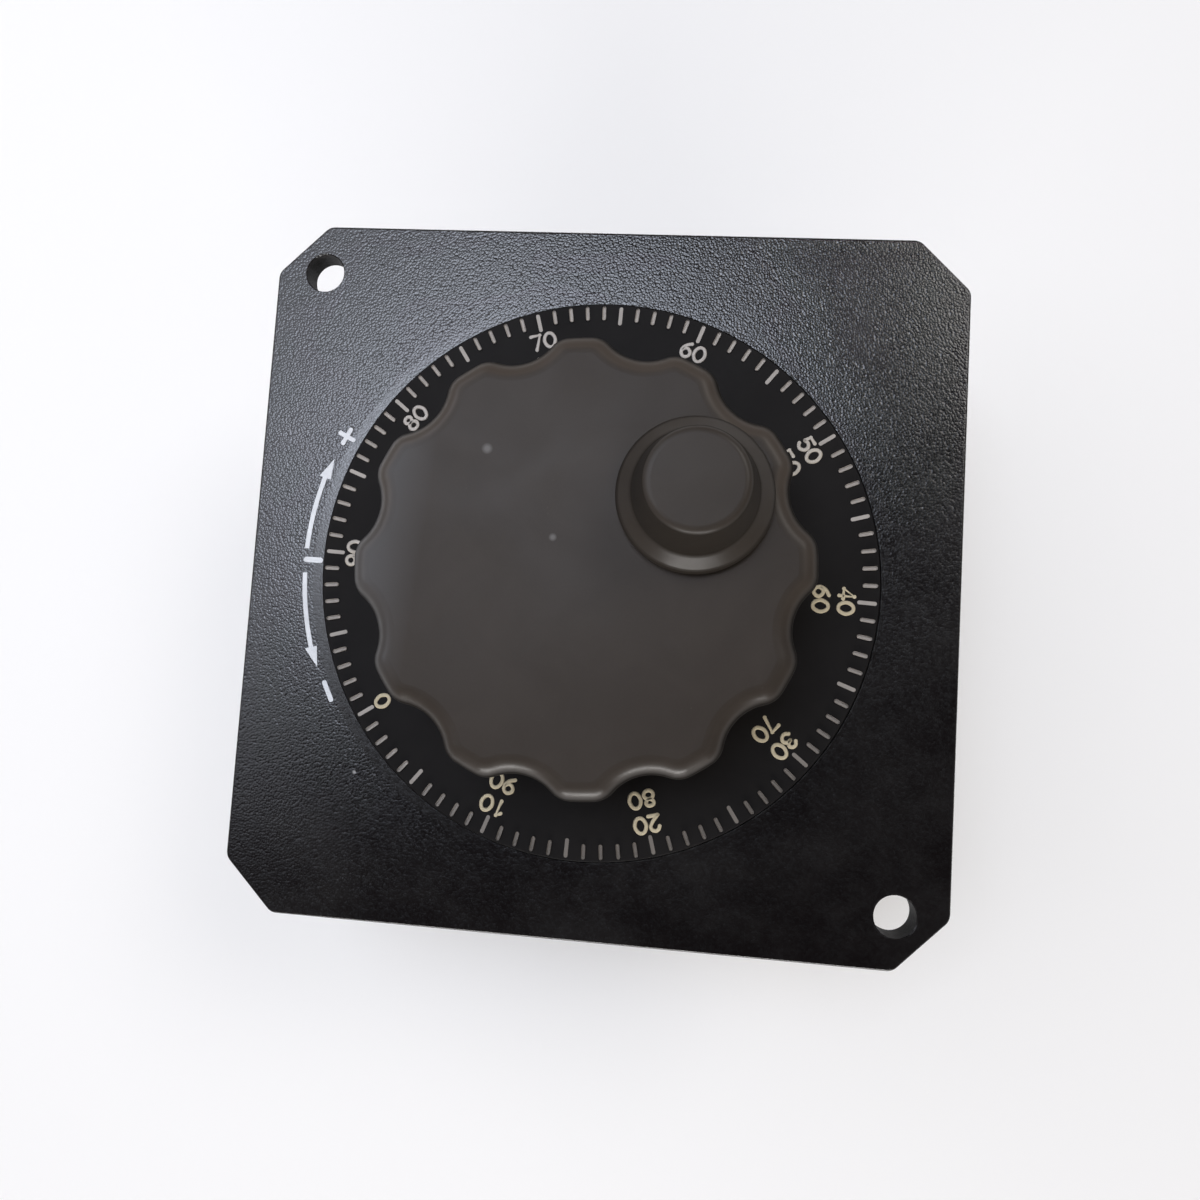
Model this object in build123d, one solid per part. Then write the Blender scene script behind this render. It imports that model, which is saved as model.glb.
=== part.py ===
from build123d import *
from math import cos, degrees, radians, sin
import os

# Pulse generator handwheel for a machine's control panel, in millimetres.
# The origin is the centre of the front plate's rear face, which seats on the panel.
# +Z is the shaft's axis towards the user, and +Y is up on the panel.

# Fits
fit_clearance = 0.01
running_clearance = 0.03
loose_clearance = 0.3

# Front plate
plate_side = 76.2
plate_thickness = 3.0
plate_corner_cut = 5.5
plate_corner_round = 1.5
plate_edge_round = 0.3
mount_hole_radius = 2.15
mount_hole_inset = 5.45
mount_hole_bevel = 0.1

# Dial, which turns in a shallow recess of the plate
dial_radius = 29.8
dial_gap = 0.2
dial_thickness = 1.2
dial_proud = 0.5
dial_bevel = 0.1
dial_float = 0.3
zero_mark_angle = 213.8
dial_screw_circle = 14.0
dial_screw_count = 3

# Handwheel
lobe_count = 12
wheel_tip_radius = 21.2
wheel_height = 16.0
wheel_wall = 2.4
wheel_top_wall = 2.6
wheel_edge_round = 2.0
scallop_radius = 4.6
scallop_depth = 1.6
lobe_round = 2.5
hub_wall = 2.4
wheel_rib_count = 6
wheel_rib_thickness = 1.6
wheel_rib_clearance = 4.0
dial_boss_radius = 2.4

# Hub sleeve and its grub screws
sleeve_radius = 5.2
sleeve_length = 12.0
nose_step = 0.1
grub_height = 6.0
grub_screw_radius = 1.5
grub_screw_angles = (45.0, 135.0)
key_hole_radius = 1.7

# Crank knob, opposite the zero mark
knob_edge_distance = 9.4
knob_height = 8.1
knob_top_radius = 4.4
knob_top_round = 0.8
knob_waist_radius = 5.5
knob_waist_height = 2.4
knob_waist_round = 1.2
knob_rim_radius = 7.0
knob_rim_height = 1.0
knob_rim_round = 1.0
knob_foot_round = 0.3
knob_washer_radius = 5.6
knob_washer_thickness = 0.3
knob_end_play = 0.05
knob_pin_radius = 2.0
knob_pin_depth = 5.0
knob_bush_wall = 1.0
knob_bush_length = 7.5
knob_boss_wall = 1.4
clip_thickness = 0.6
clip_width = 1.5
clip_groove = 0.5

# Shaft and bearings
shaft_radius = 3.0
shaft_bevel = 0.4
bearing_outer_radius = 6.5
bearing_width = 5.0
bearing_spacing = 7.0
race_gap = 1.3
ball_radius = 1.0
ball_play = 0.1
ball_count = 7
cage_thickness = 0.5
cage_width = 3.0
seal_room = 2.3
seal_thickness = 1.6
ring_thickness = 0.7
ring_width = 1.8
ring_groove = 0.4

# Magnetic detent
tooth_count = 100
rotor_room = 9.0
rotor_thickness = 2.0
rotor_hub_radius = 6.0
rotor_hub_length = 3.1
rotor_gap = 1.5
tooth_depth = 0.6
tooth_tip_share = 0.4
tooth_root_share = 0.64
air_gap = 0.3
pole_tooth_count = 5
pole_depth = 5.8
magnet_half_angle = 4.0
magnet_set_back = 1.5
detent_angle = 0.0

# Slotted disc and light barrier
code_disc_room = 1.2
code_disc_thickness = 0.4
code_slot_length = 2.5
code_slot_edge = 1.0
code_hub_radius = 6.5
code_hub_flange = 1.0
code_hub_spigot = 4.5
code_hub_spigot_length = 1.4
barrier_width = 9.0
barrier_length = 8.0
barrier_slot_gap = 0.6
barrier_arm = 1.8
barrier_angle = 180.0

# Circuit board
board_gap = 1.3
board_thickness = 1.6
board_edge_gap = 0.8
part_room = 2.1
driver_length = 10.0
driver_width = 4.0
driver_height = 1.5
driver_lead_count = 8
driver_lead_width = 0.45
driver_lead_reach = 1.0
driver_stand_off = 0.2
capacitor_radius = 2.0
capacitor_height = 5.4
capacitor_inset = 3.9
capacitor_angles = (60.0, 120.0)

# Housing
housing_step = 0.3
housing_wall = 2.2
housing_front_wall = 3.0
bearing_boss_wall = 2.5
housing_rib_count = 12
housing_rib_thickness = 1.6
housing_rib_depth = 6.0
pedestal_wall = 1.6
board_boss_inset = 4.8
board_boss_radius = 3.3
board_boss_angles = (90.0, 210.0, 330.0)
cover_boss_inset = 2.1
cover_boss_radius = 3.2
cover_boss_angles = (30.0, 150.0, 270.0)

# Screws
head_height_share = 0.7
head_bevel_share = 0.2
recess_length_share = 1.1
recess_width_share = 0.22
recess_depth_share = 0.35
countersunk_rim = 0.2
plate_screw_radius = 1.5
plate_screw_head = 2.9
plate_screw_length = 9.0
board_screw_radius = 1.25
board_screw_head = 2.2
board_screw_length = 8.0
cover_screw_radius = 1.25
cover_screw_head = 2.4
cover_screw_length = 10.0
detent_screw_radius = 1.0
detent_screw_head = 1.9
detent_screw_length = 7.0
dial_screw_radius = 1.0
dial_screw_head = 1.9
dial_screw_length = 5.0

# Rear cover
cover_thickness = 2.5
cover_bevel = 0.5
cover_seal_thickness = 0.5
cover_seal_margin = 0.2

# Terminal strip
terminal_count = 6
terminal_pitch = 6.35
terminal_width = 14.0
terminal_floor_height = 9.0
barrier_thickness = 1.2
barrier_height = 4.0
terminal_plate_length = 10.0
terminal_plate_thickness = 0.8
terminal_screw_radius = 1.5
terminal_screw_head = 2.3
terminal_screw_length = 6.0

# Heights, worked out from the sizes above
dial_top = plate_thickness + dial_proud
dial_bottom = dial_top - dial_thickness
recess_floor = dial_bottom - dial_float
wheel_face = dial_top + wheel_height
front_bearing_top = recess_floor - seal_room
front_bearing_bottom = front_bearing_top - bearing_width
rear_bearing_top = front_bearing_bottom - bearing_spacing
rear_bearing_bottom = rear_bearing_top - bearing_width
ring_bottom = rear_bearing_bottom - ring_thickness
rotor_top = ring_bottom - rotor_gap
rotor_bottom = rotor_top - rotor_thickness
code_hub_top = rotor_top - rotor_hub_length
code_disc_top = code_hub_top - code_hub_flange
code_disc_bottom = code_disc_top - code_disc_thickness
shaft_end = code_disc_top - code_hub_spigot_length
board_front = shaft_end - board_gap
board_rear = board_front - board_thickness
housing_end = board_rear - part_room
cover_front = housing_end - cover_seal_thickness
cover_rear = cover_front - cover_thickness
terminal_floor = board_rear - terminal_floor_height
knob_bottom = wheel_face + knob_washer_thickness + knob_end_play
bush_bottom = wheel_face - knob_bush_length
clip_top = bush_bottom - knob_end_play

# Radii and angles, worked out from the sizes above
recess_radius = dial_radius + dial_gap
hub_radius = sleeve_radius + hub_wall
scallop_circle = wheel_tip_radius - scallop_depth + scallop_radius
knob_circle = wheel_tip_radius - knob_edge_distance
spigot_radius = bearing_outer_radius + bearing_boss_wall
housing_radius = dial_radius - housing_step
housing_inner_radius = housing_radius - housing_wall
board_boss_circle = housing_inner_radius - board_boss_inset
cover_boss_circle = housing_inner_radius - cover_boss_inset
board_radius = housing_inner_radius - board_edge_gap
capacitor_circle = board_radius - capacitor_inset
driver_offset = (terminal_width / 2 + board_boss_circle - board_screw_head) / 2
rotor_radius = board_boss_circle - rotor_room
code_disc_radius = board_boss_circle - board_boss_radius - code_disc_room
race_wall = (bearing_outer_radius - shaft_radius - race_gap) / 2
nose_radius = shaft_radius + race_wall - nose_step
ball_circle = (shaft_radius + bearing_outer_radius) / 2
bush_radius = knob_pin_radius + knob_bush_wall
knob_angle = zero_mark_angle + 180
tooth_pitch = 360 / tooth_count
pole_inner_radius = rotor_radius + air_gap
pole_outer_radius = pole_inner_radius + pole_depth
pole_angle = magnet_half_angle + pole_tooth_count * tooth_pitch
terminal_length = terminal_count * terminal_pitch + barrier_thickness


def polar(radius, angle):
    """The point at a radius and an angle in degrees."""
    return radius * cos(radians(angle)), radius * sin(radians(angle))


def disc(radius, bottom, top):
    """A plain disc or rod about the Z axis."""
    return Pos(0, 0, bottom) * extrude(Circle(radius), top - bottom)


def ring(outer, inner, bottom, top):
    """A plain ring about the Z axis."""
    return Pos(0, 0, bottom) * extrude(Circle(outer) - Circle(inner), top - bottom)


def turned(*corners):
    """A solid turned about the Z axis from corners of (radius, height)."""
    return revolve(Plane.XZ * make_face(Polyline(*corners, close=True)), Axis.Z)


def around(shape, radius, angles):
    """Copies of a shape on a circle about the Z axis, each turned to its own angle."""
    return [Rot(0, 0, angle) * Pos(radius, 0, 0) * shape for angle in angles]


def even_angles(count, first=0.0):
    """Angles spread evenly round a full circle."""
    return [first + 360 * step / count for step in range(count)]


def group(shapes):
    """Separate solids kept together."""
    return Compound(children=list(shapes))


def sector(outer, inner, half_angle, bottom, top):
    """A piece of a ring, half an angle each side of the X axis."""
    inner_low = polar(inner, -half_angle)
    inner_high = polar(inner, half_angle)
    outer_low = polar(outer, -half_angle)
    outer_high = polar(outer, half_angle)
    outline = [
        Line(inner_low, outer_low),
        ThreePointArc(outer_low, (outer, 0), outer_high),
        Line(outer_high, inner_high),
        ThreePointArc(inner_high, (inner, 0), inner_low),
    ]
    return Pos(0, 0, bottom) * extrude(make_face(outline), top - bottom)


def cross_recess(radius, depth, face):
    """The crossed slots in a screw head that faces -Z."""
    middle = (Align.CENTER, Align.CENTER, Align.MIN)
    slot = Box(recess_length_share * radius, recess_width_share * radius, depth, align=middle)
    return Pos(0, 0, face) * (slot + Rot(0, 0, 90) * slot)


def pan_screw(head, shank, length, seat):
    """A pan head screw that is driven towards +Z, with its head under the seat."""
    height = head_height_share * head
    bevel = head_bevel_share * head
    body = turned(
        (0, seat - height),
        (head - bevel, seat - height),
        (head, seat - height + bevel),
        (head, seat),
        (shank, seat),
        (shank, seat + length),
        (0, seat + length),
    )
    return body - cross_recess(head, recess_depth_share * head, seat - height)


def countersunk(head, shank, length, face):
    """A countersunk screw or its hole, with the flat head up at the face."""
    return turned(
        (0, face),
        (head, face),
        (head, face - countersunk_rim),
        (shank, face - countersunk_rim - (head - shank)),
        (shank, face - length),
        (0, face - length),
    )


def snap_ring(groove_radius, width, thickness, top):
    """An open ring that snaps into a groove, with its mouth towards +X."""
    outer = groove_radius + width
    mouth = Box(outer, 1.2 * groove_radius, thickness, align=(Align.MIN, Align.CENTER, Align.MIN))
    whole = ring(outer, groove_radius + fit_clearance, top - thickness, top)
    return whole - Pos(0, 0, top - thickness) * mouth


def front_plate():
    """The square plate with cut corners, the dial's recess and the two mounting holes."""
    outline = chamfer(Rectangle(plate_side, plate_side).vertices(), plate_corner_cut)
    outline = fillet(outline.vertices(), plate_corner_round)
    plate = extrude(outline, plate_thickness)
    plate = fillet(plate.faces().sort_by(Axis.Z)[-1].edges(), plate_edge_round)
    plate -= disc(recess_radius, recess_floor, plate_thickness)
    plate -= disc(spigot_radius + running_clearance, 0, recess_floor)
    offset = plate_side / 2 - mount_hole_inset
    rim = mount_hole_radius + mount_hole_bevel
    hole = turned(
        (0, 0),
        (mount_hole_radius, 0),
        (mount_hole_radius, plate_thickness - mount_hole_bevel),
        (rim, plate_thickness),
        (0, plate_thickness),
    )
    plate -= [Pos(-offset, offset, 0) * hole, Pos(offset, -offset, 0) * hole]
    screw_hole = countersunk(
        plate_screw_head + running_clearance,
        plate_screw_radius + running_clearance,
        recess_floor,
        recess_floor,
    )
    return plate - around(screw_hole, board_boss_circle, board_boss_angles)


def plate_screws():
    """Three countersunk screws from the recess into the housing."""
    screw = countersunk(plate_screw_head, plate_screw_radius, plate_screw_length, recess_floor)
    return group(around(screw, board_boss_circle, board_boss_angles))


def dial_disc():
    """The thin disc that carries the marks."""
    dial = ring(dial_radius, nose_radius + fit_clearance, dial_bottom, dial_top)
    rim = dial.edges().filter_by(GeomType.CIRCLE).group_by(Axis.Z)[-1].sort_by(SortBy.RADIUS)[-1]
    dial = chamfer(rim, dial_bevel)
    hole = countersunk(
        dial_screw_head + running_clearance,
        dial_screw_radius + running_clearance,
        dial_thickness,
        0,
    )
    upside_down = Pos(0, 0, dial_bottom) * Rot(180, 0, 0) * hole
    return dial - around(upside_down, dial_screw_circle, dial_screw_angles())


def dial_screw_angles():
    """The dial's screws stand on every second rib, clear of the knob."""
    return even_angles(dial_screw_count, knob_angle + 180 / dial_screw_count)


def dial_screws():
    """Countersunk screws that hold the dial to the handwheel from below."""
    screw = countersunk(dial_screw_head, dial_screw_radius, dial_screw_length, 0)
    upside_down = Pos(0, 0, dial_bottom) * Rot(180, 0, 0) * screw
    return group(around(upside_down, dial_screw_circle, dial_screw_angles()))


def softened(profile, corner, radius):
    """The flat profile with the corner at a place rounded."""
    return fillet(profile.vertices().sort_by_distance(corner)[0], radius)


def lobed_outline(inset):
    """The handwheel's outline, moved inwards by an inset."""
    scallops = around(
        Circle(scallop_radius + inset),
        scallop_circle,
        even_angles(lobe_count, zero_mark_angle + 180 / lobe_count),
    )
    return Circle(wheel_tip_radius - inset) - scallops


def grub_bore(radius, start, end):
    """Rods along the axes of the two grub screws."""
    rod = Cylinder(radius, end - start, align=(Align.CENTER, Align.CENTER, Align.MIN))
    lying = Pos(start, 0, dial_top + grub_height) * Rot(0, 90, 0) * rod
    return [Rot(0, 0, knob_angle + angle) * lying for angle in grub_screw_angles]


def handwheel():
    """The hollow lobed moulding with its hub, ribs and bosses."""
    outline = fillet(lobed_outline(0).vertices(), lobe_round)
    wheel = Pos(0, 0, dial_top) * extrude(outline, wheel_height)
    edge_round = min(wheel_edge_round, 0.8 * lobe_round, 0.8 * wheel_top_wall)
    wheel = fillet(wheel.faces().sort_by(Axis.Z)[-1].edges(), edge_round)
    ceiling = wheel_face - wheel_top_wall
    cavity = Pos(0, 0, dial_top) * extrude(lobed_outline(wheel_wall), ceiling - dial_top)
    wheel -= cavity
    rib = Pos(0, 0, dial_top + wheel_rib_clearance) * Box(
        wheel_tip_radius,
        wheel_rib_thickness,
        ceiling - dial_top - wheel_rib_clearance,
        align=(Align.MIN, Align.CENTER, Align.MIN),
    )
    inside = disc(hub_radius, dial_top, ceiling)
    inside += around(rib, 0, even_angles(wheel_rib_count, knob_angle))
    inside += around(disc(dial_boss_radius, dial_top, ceiling), dial_screw_circle, dial_screw_angles())
    boss_radius = bush_radius + knob_boss_wall
    clip_room = disc(clip_radius() + loose_clearance, dial_top, bush_bottom)
    inside -= around(clip_room, knob_circle, [knob_angle])
    inside += around(disc(boss_radius, bush_bottom, ceiling), knob_circle, [knob_angle])
    wheel += inside & cavity
    wheel -= disc(sleeve_radius + fit_clearance, dial_top, dial_top + sleeve_length + fit_clearance)
    bush_hole = disc(bush_radius + fit_clearance, bush_bottom, wheel_face)
    wheel -= around(bush_hole, knob_circle, [knob_angle])
    screw_hole = disc(dial_screw_radius + fit_clearance, dial_top, dial_bottom + dial_screw_length)
    wheel -= around(screw_hole, dial_screw_circle, dial_screw_angles())
    wheel -= grub_bore(grub_screw_radius + fit_clearance, 0, hub_radius)
    return wheel - grub_bore(key_hole_radius, hub_radius, wheel_tip_radius)


def hub_sleeve():
    """The metal sleeve in the hub, whose nose reaches down to the front bearing."""
    sleeve = turned(
        (shaft_radius + fit_clearance, front_bearing_top),
        (nose_radius, front_bearing_top),
        (nose_radius, dial_top),
        (sleeve_radius, dial_top),
        (sleeve_radius, dial_top + sleeve_length),
        (shaft_radius + fit_clearance, dial_top + sleeve_length),
    )
    return sleeve - grub_bore(grub_screw_radius + fit_clearance, 0, hub_radius)


def grub_screws():
    """Two headless screws from the hub to the shaft."""
    start = shaft_radius + fit_clearance
    end = hub_radius - loose_clearance
    socket = grub_bore(0.5 * grub_screw_radius, end - grub_screw_radius, end)
    screws = grub_bore(grub_screw_radius, start, end)
    return group([screw - hole for screw, hole in zip(screws, socket)])


def clip_radius():
    """The outer radius of the clip on the knob's pin."""
    return knob_pin_radius - clip_groove + clip_width


def at_knob(shape):
    """A shape moved from the Z axis to the knob's own axis."""
    return Rot(0, 0, knob_angle) * Pos(knob_circle, 0, 0) * shape


def knob_bush():
    """The metal bush that the knob's pin turns in."""
    bush = ring(bush_radius, knob_pin_radius + running_clearance, bush_bottom, wheel_face)
    return at_knob(bush)


def knob_washer():
    """The thin washer between the wheel's face and the knob."""
    top = wheel_face + knob_washer_thickness
    return at_knob(ring(knob_washer_radius, knob_pin_radius + running_clearance, wheel_face, top))


def crank_knob():
    """The flared knob, closed at its top, with a blind hole for its pin."""
    top = knob_bottom + knob_height
    foot = (knob_rim_radius, knob_bottom)
    rim = (knob_rim_radius, knob_bottom + knob_rim_height)
    waist = (knob_waist_radius, knob_bottom + knob_waist_height)
    crown = (knob_top_radius, top)
    profile = make_face(Polyline((0, knob_bottom), foot, rim, waist, crown, (0, top), close=True))
    profile = softened(profile, foot, knob_foot_round)
    profile = softened(profile, rim, knob_rim_round)
    profile = softened(profile, waist, knob_waist_round)
    profile = softened(profile, crown, knob_top_round)
    knob = revolve(Plane.XZ * profile, Axis.Z)
    hole = disc(knob_pin_radius + fit_clearance, knob_bottom, knob_bottom + knob_pin_depth + fit_clearance)
    return at_knob(knob - hole)


def knob_pin():
    """The pin that is fixed in the knob and turns in the bush."""
    groove_top = clip_top
    groove_bottom = clip_top - clip_thickness
    tail = groove_bottom - clip_groove
    groove_radius = knob_pin_radius - clip_groove
    pin = turned(
        (0, tail - clip_groove),
        (groove_radius, tail - clip_groove),
        (knob_pin_radius, tail),
        (knob_pin_radius, groove_bottom),
        (groove_radius, groove_bottom),
        (groove_radius, groove_top),
        (knob_pin_radius, groove_top),
        (knob_pin_radius, knob_bottom + knob_pin_depth),
        (0, knob_bottom + knob_pin_depth),
    )
    return at_knob(pin)


def knob_clip():
    """The open ring in the pin's groove, under the bush."""
    return at_knob(snap_ring(knob_pin_radius - clip_groove, clip_width, clip_thickness, clip_top))


def shaft():
    """The shaft, with the groove for its retaining ring."""
    top = dial_top + sleeve_length - loose_clearance
    groove_radius = shaft_radius - ring_groove
    return turned(
        (0, shaft_end),
        (shaft_radius - shaft_bevel, shaft_end),
        (shaft_radius, shaft_end + shaft_bevel),
        (shaft_radius, ring_bottom),
        (groove_radius, ring_bottom),
        (groove_radius, rear_bearing_bottom),
        (shaft_radius, rear_bearing_bottom),
        (shaft_radius, top - shaft_bevel),
        (shaft_radius - shaft_bevel, top),
        (0, top),
    )


def retaining_ring():
    """The open ring that holds the inner races on the shaft."""
    return snap_ring(shaft_radius - ring_groove, ring_width, ring_thickness, rear_bearing_bottom)


def ball_groove(top):
    """The round groove that the balls run in, cut from both races."""
    return Pos(0, 0, top - bearing_width / 2) * Torus(ball_circle, ball_radius + ball_play)


def inner_race(top):
    """The bearing ring on the shaft."""
    inner = shaft_radius + fit_clearance
    return ring(shaft_radius + race_wall, inner, top - bearing_width, top) - ball_groove(top)


def outer_race(top):
    """The bearing ring in the housing."""
    outer = bearing_outer_radius
    return ring(outer, outer - race_wall, top - bearing_width, top) - ball_groove(top)


def ball_set(top):
    """The balls of one bearing."""
    ball = Pos(0, 0, top - bearing_width / 2) * Sphere(ball_radius)
    return group(around(ball, ball_circle, even_angles(ball_count)))


def cage(top):
    """The ring that spaces the balls, with a round pocket for each."""
    middle = top - bearing_width / 2
    half = cage_thickness / 2
    band = ring(ball_circle + half, ball_circle - half, middle - cage_width / 2, middle + cage_width / 2)
    pocket = Pos(0, 0, middle) * Rot(0, 90, 0) * Cylinder(ball_radius + ball_play / 2, 4 * cage_thickness)
    return band - around(pocket, ball_circle, even_angles(ball_count))


def bearing_spacer():
    """The tube between the two inner races."""
    outer = shaft_radius + race_wall
    return ring(outer, shaft_radius + fit_clearance, rear_bearing_top, front_bearing_bottom)


def shaft_seal():
    """The ring that keeps dirt out of the front bearing."""
    top = recess_floor - loose_clearance
    return ring(bearing_outer_radius, nose_radius + running_clearance, top - seal_thickness, top)


def detent_rotor():
    """The steel wheel whose teeth line up with the poles at each of the dial's marks."""
    root = rotor_radius - tooth_depth
    tip_half = tooth_tip_share * tooth_pitch / 2
    root_half = tooth_root_share * tooth_pitch / 2
    corners = []
    for tooth in even_angles(tooth_count, zero_mark_angle):
        corners.append(polar(root, tooth - root_half))
        corners.append(polar(rotor_radius, tooth - tip_half))
        corners.append(polar(rotor_radius, tooth + tip_half))
        corners.append(polar(root, tooth + root_half))
    teeth = make_face(Polyline(*corners, close=True))
    wheel = Pos(0, 0, rotor_bottom) * extrude(teeth, rotor_thickness)
    wheel += disc(rotor_hub_radius, code_hub_top, rotor_top)
    return wheel - disc(shaft_radius + fit_clearance, code_hub_top, rotor_top)


def pole_shoe(side):
    """One pole shoe, with teeth that match the rotor's on its inner edge."""
    first = magnet_half_angle
    last = pole_angle
    root = pole_inner_radius + tooth_depth
    tip_half = tooth_tip_share * tooth_pitch / 2
    root_half = tooth_root_share * tooth_pitch / 2
    corners = [polar(root, first)]
    for tooth in range(pole_tooth_count):
        middle = first + (tooth + 0.5) * tooth_pitch
        corners.append(polar(root, middle - root_half))
        corners.append(polar(pole_inner_radius, middle - tip_half))
        corners.append(polar(pole_inner_radius, middle + tip_half))
        corners.append(polar(root, middle + root_half))
    corners.append(polar(root, last))
    outer_start = polar(pole_outer_radius, last)
    outer_middle = polar(pole_outer_radius, (first + last) / 2)
    outer_end = polar(pole_outer_radius, first)
    outline = [
        Polyline(*corners, outer_start),
        ThreePointArc(outer_start, outer_middle, outer_end),
        Line(outer_end, corners[0]),
    ]
    shoe = Pos(0, 0, rotor_bottom) * extrude(make_face(outline), rotor_thickness)
    x, y = detent_screw_place(1)
    shoe -= Pos(x, y, 0) * disc(detent_screw_radius + running_clearance, rotor_bottom, rotor_top)
    if side < 0:
        shoe = mirror(shoe, Plane.XZ)
    return shoe


def detent_screw_place(side):
    """The place of the screw through a pole shoe, with the detent on the X axis."""
    radius = (pole_inner_radius + tooth_depth + pole_outer_radius) / 2
    return polar(radius, side * (magnet_half_angle + pole_angle) / 2)


def detent_poles():
    """The two pole shoes, one each side of the magnet."""
    return group([Rot(0, 0, detent_angle) * pole_shoe(side) for side in (1, -1)])


def detent_magnet():
    """The magnet between the two pole shoes, set back from the rotor's teeth."""
    inner = pole_inner_radius + magnet_set_back
    magnet = sector(pole_outer_radius, inner, magnet_half_angle, rotor_bottom, rotor_top)
    return Rot(0, 0, detent_angle) * magnet


def detent_screws():
    """The two screws that hold the pole shoes on the housing's pedestal."""
    screw = pan_screw(detent_screw_head, detent_screw_radius, detent_screw_length, rotor_bottom)
    places = [detent_screw_place(side) for side in (1, -1)]
    return group([Rot(0, 0, detent_angle) * Pos(x, y, 0) * screw for x, y in places])


def code_disc():
    """The thin disc with one slot for each mark of the dial."""
    outer = code_disc_radius - code_slot_edge
    inner = outer - code_slot_length
    half = tooth_pitch / 4
    slots = []
    for slot in even_angles(tooth_count, zero_mark_angle):
        corners = [
            polar(inner, slot - half),
            polar(outer, slot - half),
            polar(outer, slot + half),
            polar(inner, slot + half),
        ]
        slots.append(make_face(Polyline(*corners, close=True)))
    sheet = Circle(code_disc_radius) - Circle(code_hub_spigot + fit_clearance) - slots
    return Pos(0, 0, code_disc_bottom) * extrude(sheet, code_disc_thickness)


def code_disc_hub():
    """The flanged hub that carries the slotted disc on the shaft."""
    return turned(
        (shaft_radius + fit_clearance, shaft_end),
        (code_hub_spigot, shaft_end),
        (code_hub_spigot, code_disc_top),
        (code_hub_radius, code_disc_top),
        (code_hub_radius, code_hub_top),
        (shaft_radius + fit_clearance, code_hub_top),
    )


def light_barrier():
    """The forked sensor on the board, with the slotted disc's edge in its mouth."""
    mouth_top = code_disc_top + barrier_slot_gap
    mouth_bottom = code_disc_bottom - barrier_slot_gap
    start = code_disc_radius - code_slot_edge - code_slot_length
    corner = (Align.MIN, Align.CENTER, Align.MIN)
    body = Box(barrier_length, barrier_width, mouth_top + barrier_arm - board_front, align=corner)
    body = Pos(start, 0, board_front) * body
    reach = code_disc_radius + barrier_slot_gap - start
    mouth = Box(reach, barrier_width, mouth_top - mouth_bottom, align=corner)
    return Rot(0, 0, barrier_angle) * (body - Pos(start, 0, mouth_bottom) * mouth)


def circuit_board():
    """The round board, notched where the cover's screw bosses pass."""
    board = disc(board_radius, board_rear, board_front)
    notch = disc(cover_boss_radius + loose_clearance, board_rear, board_front)
    board -= around(notch, cover_boss_circle, cover_boss_angles)
    hole = disc(board_screw_radius + running_clearance, board_rear, board_front)
    return board - around(hole, board_boss_circle, board_boss_angles)


def board_screws():
    """The screws that hold the board on the housing's bosses."""
    screw = pan_screw(board_screw_head, board_screw_radius, board_screw_length, board_rear)
    return group(around(screw, board_boss_circle, board_boss_angles))


def line_driver():
    """The driver chip on the board's rear side, with its two rows of leads."""
    body_height = driver_height - driver_stand_off
    body = Box(driver_length, driver_width, body_height, align=(Align.CENTER, Align.CENTER, Align.MIN))
    chip = Pos(0, driver_offset, board_rear - driver_height) * body
    lead_pitch = driver_length / driver_lead_count
    lead_length = driver_width + 2 * driver_lead_reach
    top = (Align.CENTER, Align.CENTER, Align.MAX)
    lead = Box(driver_lead_width, lead_length, driver_height / 2, align=top)
    for step in range(driver_lead_count):
        x = (step + 0.5) * lead_pitch - driver_length / 2
        chip += Pos(x, driver_offset, board_rear) * lead
    return chip


def capacitors():
    """Two upright capacitors beside the slotted disc."""
    can = disc(capacitor_radius, board_front, board_front + capacitor_height)
    return group(around(can, capacitor_circle, capacitor_angles))


def housing_pedestal():
    """The hollow stand that carries the pole shoes and the magnet."""
    bottom = -housing_front_wall
    outer = pole_outer_radius + loose_clearance
    inner = pole_inner_radius + tooth_depth
    stand = sector(outer, inner, pole_angle, rotor_top, bottom)
    wall_angle = degrees(pedestal_wall / outer)
    stand -= sector(outer - pedestal_wall, inner + pedestal_wall, pole_angle - wall_angle, rotor_top, bottom)
    hole_radius = detent_screw_radius + fit_clearance
    hole_end = rotor_bottom + detent_screw_length
    for side in (1, -1):
        x, y = detent_screw_place(side)
        stand += Pos(x, y, 0) * disc(hole_radius + pedestal_wall, rotor_top, bottom)
        stand -= Pos(x, y, 0) * disc(hole_radius, rotor_top, hole_end)
    return Rot(0, 0, detent_angle) * stand


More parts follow.
